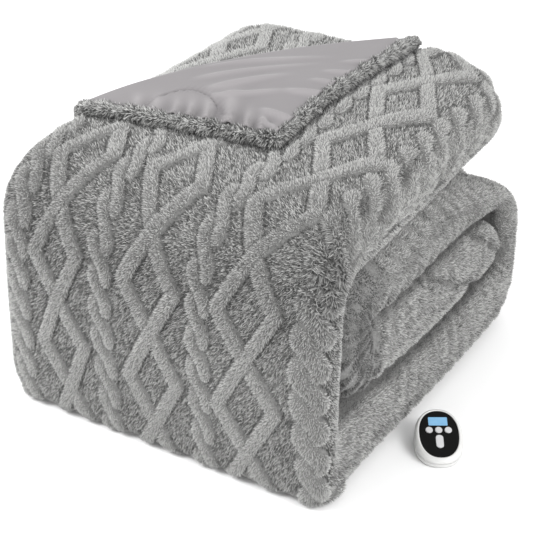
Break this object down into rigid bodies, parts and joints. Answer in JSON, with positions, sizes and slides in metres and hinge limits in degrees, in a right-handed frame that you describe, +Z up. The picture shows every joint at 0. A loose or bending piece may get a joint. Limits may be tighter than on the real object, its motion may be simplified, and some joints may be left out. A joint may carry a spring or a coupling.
{
  "type": "electric heated blanket",
  "caption": "Plush heated blanket with raised lattice and rope pattern, folded into a square stack with one corner turned down, beside its hand controller with display and keys.",
  "frame": {"origin": "on the floor, in the middle of the folded stack's flat underside", "axes": "+Z up, -Y out of the stack's broad front face, +X out of its right-hand side folds"},
  "size_m": [0.6232, 0.6186, 0.4392],
  "materials": {
    "plush": "brushed plush pile",
    "lining": "smooth woven microfibre",
    "shell": "satin white",
    "gland": "matt",
    "fascia": "gloss black",
    "display": "lit liquid crystal behind a clear window",
    "keys": "satin light grey"
  },
  "bodies": {
    "set": {"blanket": "plush", "lining": "lining", "controller_base": "shell", "controller_cover": "shell", "cord_gland": "gland", "fascia": "fascia", "display": "display"},
    "key_left": {"key_left": "keys"},
    "key_middle": {"key_middle": "keys"},
    "key_right": {"key_right": "keys"},
    "key_long": {"key_long": "keys"}
  },
  "joints": [
    {"name": "key_left_press", "type": "slide", "parent": "set", "child": "key_left", "axis": [0.1624, -0.2629, 0.9511], "range_m": [-0.001, 0], "stiffness_N_per_m": 300},
    {"name": "key_middle_press", "type": "slide", "parent": "set", "child": "key_middle", "axis": [0.1624, -0.2629, 0.9511], "range_m": [-0.001, 0], "stiffness_N_per_m": 300},
    {"name": "key_right_press", "type": "slide", "parent": "set", "child": "key_right", "axis": [0.1624, -0.2629, 0.9511], "range_m": [-0.001, 0], "stiffness_N_per_m": 300},
    {"name": "key_long_press", "type": "slide", "parent": "set", "child": "key_long", "axis": [0.1624, -0.2629, 0.9511], "range_m": [-0.001, 0], "stiffness_N_per_m": 300}
  ]
}
